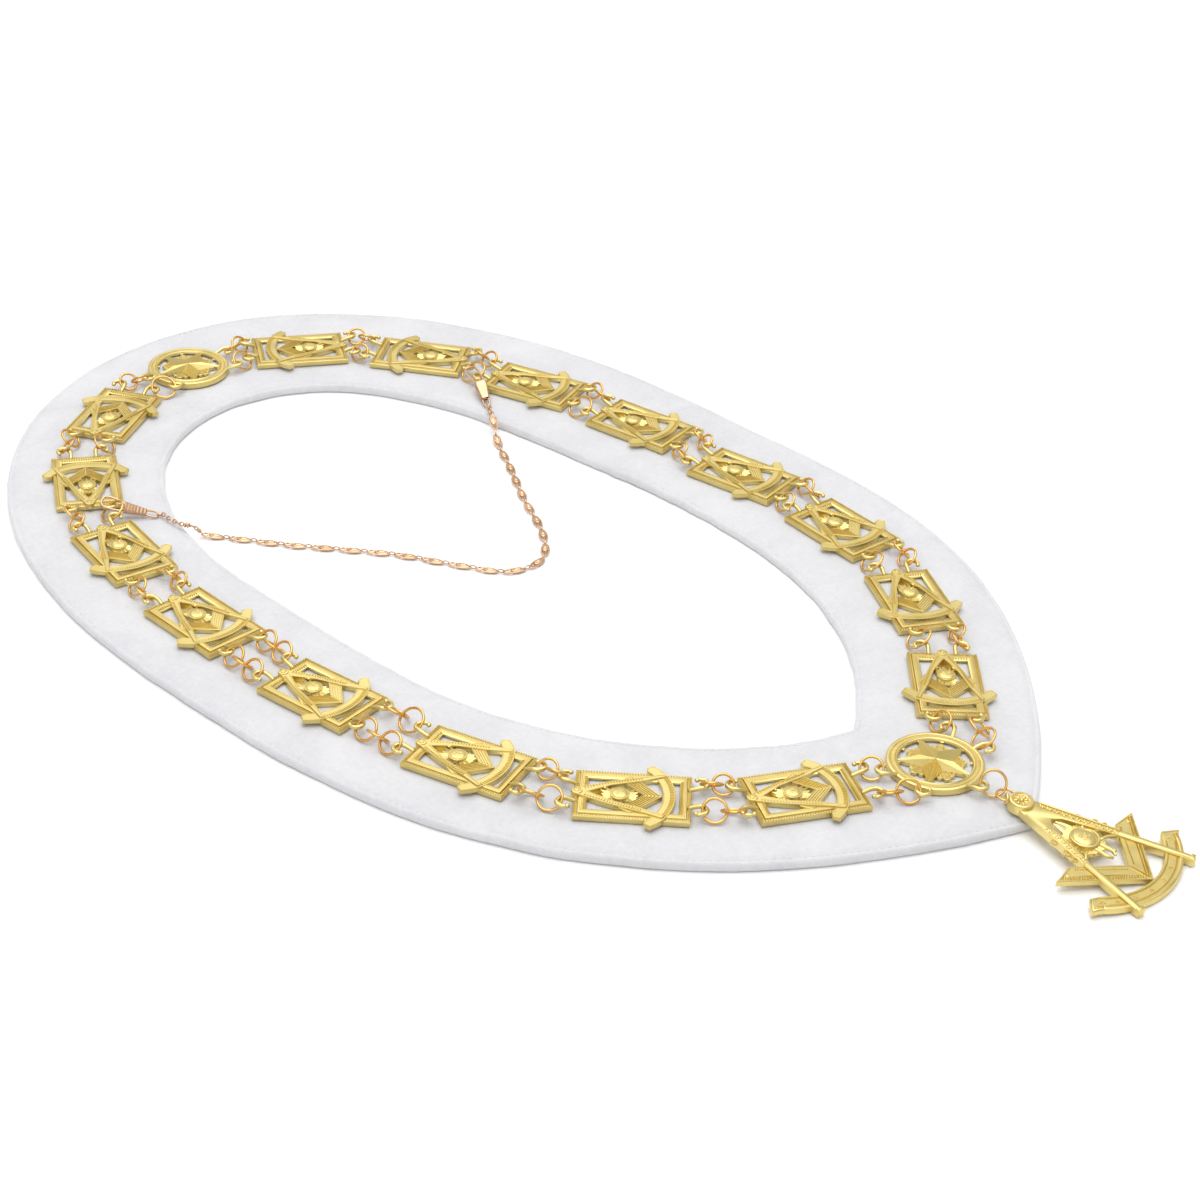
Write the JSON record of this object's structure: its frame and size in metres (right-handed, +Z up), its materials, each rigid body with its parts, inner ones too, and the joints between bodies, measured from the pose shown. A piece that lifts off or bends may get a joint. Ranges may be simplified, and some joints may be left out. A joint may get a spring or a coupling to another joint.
{
  "type": "masonic chain collar",
  "caption": "Ceremonial collar: a padded white velvet collar carrying a gilt chain of openwork square-and-compass links and star medallions, a large hanging jewel, and a fine safety chain.",
  "frame": {"origin": "centre of the overall box in plan, at the underside of the velvet", "axes": "+Z up; the nape is towards +Y and the front point with the jewel towards -Y, as the collar lies flat"},
  "size_m": [0.2948, 0.5224, 0.0129],
  "materials": {
    "velvet": "white short-pile velvet",
    "gilt": "pale yellow gold plate, satin with polished mouldings",
    "ring_gold": "polished warmer gold plate",
    "rose_gold": "polished rose gold plate"
  },
  "bodies": {
    "root": {"clasp_left": "rose_gold", "clasp_right": "rose_gold", "fine_chain": "rose_gold", "jewel": "gilt", "jewel_rings": "ring_gold", "link_l1": "gilt", "link_l2": "gilt", "link_l3": "gilt", "link_l4": "gilt", "link_l5": "gilt", "link_l6": "gilt", "link_l7": "gilt", "link_l8": "gilt", "link_r1": "gilt", "link_r2": "gilt", "link_r3": "gilt", "link_r4": "gilt", "link_r5": "gilt", "link_r6": "gilt", "link_r7": "gilt", "link_r8": "gilt", "medallion_front": "gilt", "medallion_nape": "gilt", "rings_l0i": "ring_gold", "rings_l0o": "ring_gold", "rings_l1i": "ring_gold", "rings_l1o": "ring_gold", "rings_l2i": "ring_gold", "rings_l2o": "ring_gold", "rings_l3i": "ring_gold", "rings_l3o": "ring_gold", "rings_l4i": "ring_gold", "rings_l4o": "ring_gold", "rings_l5i": "ring_gold", "rings_l5o": "ring_gold", "rings_l6i": "ring_gold", "rings_l6o": "ring_gold", "rings_l7i": "ring_gold", "rings_l7o": "ring_gold", "rings_l8i": "ring_gold", "rings_l8o": "ring_gold", "rings_r0i": "ring_gold", "rings_r0o": "ring_gold", "rings_r1i": "ring_gold", "rings_r1o": "ring_gold", "rings_r2i": "ring_gold", "rings_r2o": "ring_gold", "rings_r3i": "ring_gold", "rings_r3o": "ring_gold", "rings_r4i": "ring_gold", "rings_r4o": "ring_gold", "rings_r5i": "ring_gold", "rings_r5o": "ring_gold", "rings_r6i": "ring_gold", "rings_r6o": "ring_gold", "rings_r7i": "ring_gold", "rings_r7o": "ring_gold", "rings_r8i": "ring_gold", "rings_r8o": "ring_gold", "velvet_collar": "velvet"}
  },
  "joints": []
}
